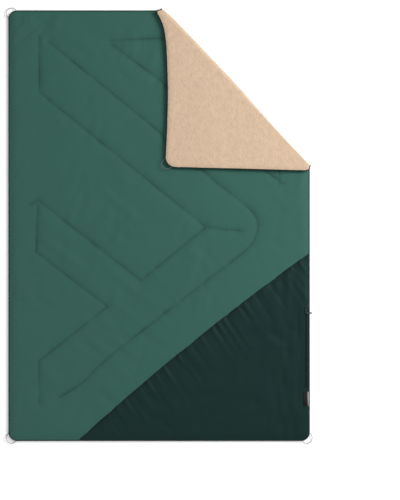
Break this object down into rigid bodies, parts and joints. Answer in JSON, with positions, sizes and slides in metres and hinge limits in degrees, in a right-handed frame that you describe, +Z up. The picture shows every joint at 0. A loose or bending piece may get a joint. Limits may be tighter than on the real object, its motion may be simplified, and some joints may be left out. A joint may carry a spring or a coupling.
{
  "type": "camp blanket",
  "caption": "Rectangular quilted camp blanket with a fleece lining, bound edges, elastic corner loops, a zipped pocket across one corner and one corner folded over",
  "frame": {"origin": "on the ground under the middle of the blanket's rectangle", "axes": "+Y towards the head end, +X to the right seen from above with the head end up, +Z up through the thickness"},
  "size_m": [1.4238, 2.0238, 0.0359],
  "materials": {
    "shell_main": "matte",
    "shell_flap": "matte",
    "pocket_panel": "matte",
    "pocket_lining": "matte",
    "insulation_main": "matte",
    "insulation_flap": "matte",
    "fleece_main": "matte",
    "fleece_flap": "matte",
    "fold_roll": "matte",
    "binding_main": "matte",
    "binding_flap": "matte",
    "zip_tape_outer": "matte",
    "zip_tape_inner": "matte",
    "zip_coil_outer": "matte",
    "zip_coil_inner": "matte",
    "zip_stop_top": "satin",
    "zip_stop_bottom": "satin",
    "zip_slider": "satin",
    "zip_pull": "satin",
    "pull_tab": "matte",
    "label": "matte",
    "loop_head_left": "matte",
    "loop_foot_left": "matte",
    "loop_foot_right": "matte",
    "loop_flap": "matte"
  },
  "bodies": {
    "blanket": {"fleece_main": "fleece_main", "insulation_main": "insulation_main", "shell_main": "shell_main", "pocket_lining": "pocket_lining", "pocket_panel": "pocket_panel", "binding_main": "binding_main", "fold_roll": "fold_roll", "zip_tape_outer": "zip_tape_outer", "zip_tape_inner": "zip_tape_inner", "zip_coil_outer": "zip_coil_outer", "zip_coil_inner": "zip_coil_inner", "zip_stop_top": "zip_stop_top", "zip_stop_bottom": "zip_stop_bottom"},
    "corner": {"shell_flap": "shell_flap", "insulation_flap": "insulation_flap", "fleece_flap": "fleece_flap", "binding_flap": "binding_flap"},
    "slider": {"zip_slider": "zip_slider"},
    "pull": {"zip_pull": "zip_pull", "pull_tab": "pull_tab"},
    "label": {"label": "label"},
    "head_left_loop": {"loop_head_left": "loop_head_left"},
    "foot_left_loop": {"loop_foot_left": "loop_foot_left"},
    "foot_right_loop": {"loop_foot_right": "loop_foot_right"},
    "corner_loop": {"loop_flap": "loop_flap"}
  },
  "joints": [
    {"name": "corner_fold", "type": "hinge", "parent": "blanket", "child": "corner", "pos_m": [0.351, 0.6355, 0.01795], "axis": [-0.6916, 0.7223, 0], "range_deg": [0, 180], "deforming": ["fold_roll"]},
    {"name": "zip_slide", "type": "slide", "parent": "blanket", "child": "slider", "axis": [0, -1, 0], "range_m": [0, 0.347]},
    {"name": "pull_swing", "type": "hinge", "parent": "slider", "child": "pull", "pos_m": [0.68055, -0.3928, 0.0225], "axis": [-1, 0, 0], "range_deg": [0, 110]},
    {"name": "label_flip", "type": "hinge", "parent": "blanket", "child": "label", "pos_m": [0.6937, -0.8025, 0.02], "axis": [0, 1, 0], "range_deg": [0, 170]},
    {"name": "head_left_loop_lift", "type": "hinge", "parent": "blanket", "child": "head_left_loop", "pos_m": [-0.68346, 0.98346, 0.0065], "axis": [0.7071, 0.7071, 0], "range_deg": [0, 90]},
    {"name": "foot_left_loop_lift", "type": "hinge", "parent": "blanket", "child": "foot_left_loop", "pos_m": [-0.68346, -0.98346, 0.0065], "axis": [-0.7071, 0.7071, 0], "range_deg": [0, 90]},
    {"name": "foot_right_loop_lift", "type": "hinge", "parent": "blanket", "child": "foot_right_loop", "pos_m": [0.68346, -0.98346, 0.0065], "axis": [-0.7071, -0.7071, 0], "range_deg": [0, 90]},
    {"name": "corner_loop_lift", "type": "hinge", "parent": "corner", "child": "corner_loop", "pos_m": [0.04014, 0.28899, 0.0294], "axis": [-0.717, 0.6971, 0], "range_deg": [0, 90]}
  ]
}
